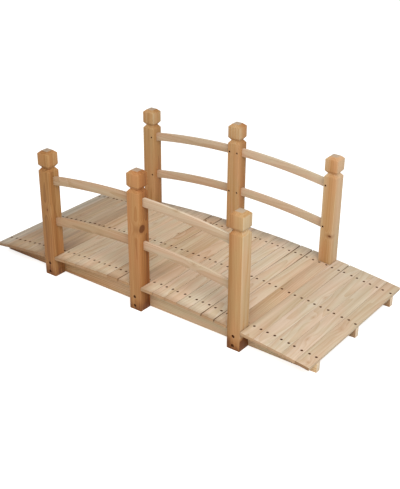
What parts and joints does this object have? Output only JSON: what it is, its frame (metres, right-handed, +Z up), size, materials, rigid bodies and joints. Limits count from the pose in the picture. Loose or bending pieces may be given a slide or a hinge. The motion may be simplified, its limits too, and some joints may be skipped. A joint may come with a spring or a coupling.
{
  "type": "arched garden footbridge",
  "caption": "Low arched wooden garden footbridge: cross-planked deck on flat-footed stringers, with capped square posts and curved double rails along both sides.",
  "frame": {"origin": "on the ground under the middle of the bridge, halfway across the deck", "axes": "+X along the bridge, +Y to the left of someone walking towards +X, +Z up"},
  "size_m": [1.5236, 0.686, 0.564],
  "materials": {
    "deck_fir": "planed, unfinished",
    "post_fir": "planed, unfinished",
    "rail_fir": "planed, unfinished",
    "stringer_fir": "sawn, unfinished",
    "fixing_steel": "browned, countersunk"
  },
  "bodies": {
    "root": {"right_stringer": "stringer_fir", "centre_stringer": "stringer_fir", "left_stringer": "stringer_fir", "right_start_post": "post_fir", "right_middle_post": "post_fir", "right_end_post": "post_fir", "left_start_post": "post_fir", "left_middle_post": "post_fir", "left_end_post": "post_fir", "right_start_upper_rail": "rail_fir", "right_start_lower_rail": "rail_fir", "right_end_upper_rail": "rail_fir", "right_end_lower_rail": "rail_fir", "left_start_upper_rail": "rail_fir", "left_start_lower_rail": "rail_fir", "left_end_upper_rail": "rail_fir", "left_end_lower_rail": "rail_fir", "deck_board_01": "deck_fir", "deck_board_02": "deck_fir", "deck_board_03": "deck_fir", "deck_board_04": "deck_fir", "deck_board_05": "deck_fir", "deck_board_06": "deck_fir", "deck_board_07": "deck_fir", "deck_board_08": "deck_fir", "deck_board_09": "deck_fir", "deck_board_10": "deck_fir", "deck_board_11": "deck_fir", "deck_board_12": "deck_fir", "deck_board_13": "deck_fir", "deck_board_14": "deck_fir", "deck_board_15": "deck_fir", "deck_board_16": "deck_fir", "deck_board_17": "deck_fir", "deck_board_18": "deck_fir", "deck_board_19": "deck_fir", "deck_board_20": "deck_fir", "deck_board_21": "deck_fir", "deck_board_22": "deck_fir", "deck_board_23": "deck_fir", "deck_board_24": "deck_fir", "deck_board_25": "deck_fir", "deck_board_26": "deck_fir", "deck_board_27": "deck_fir"}
  },
  "joints": []
}
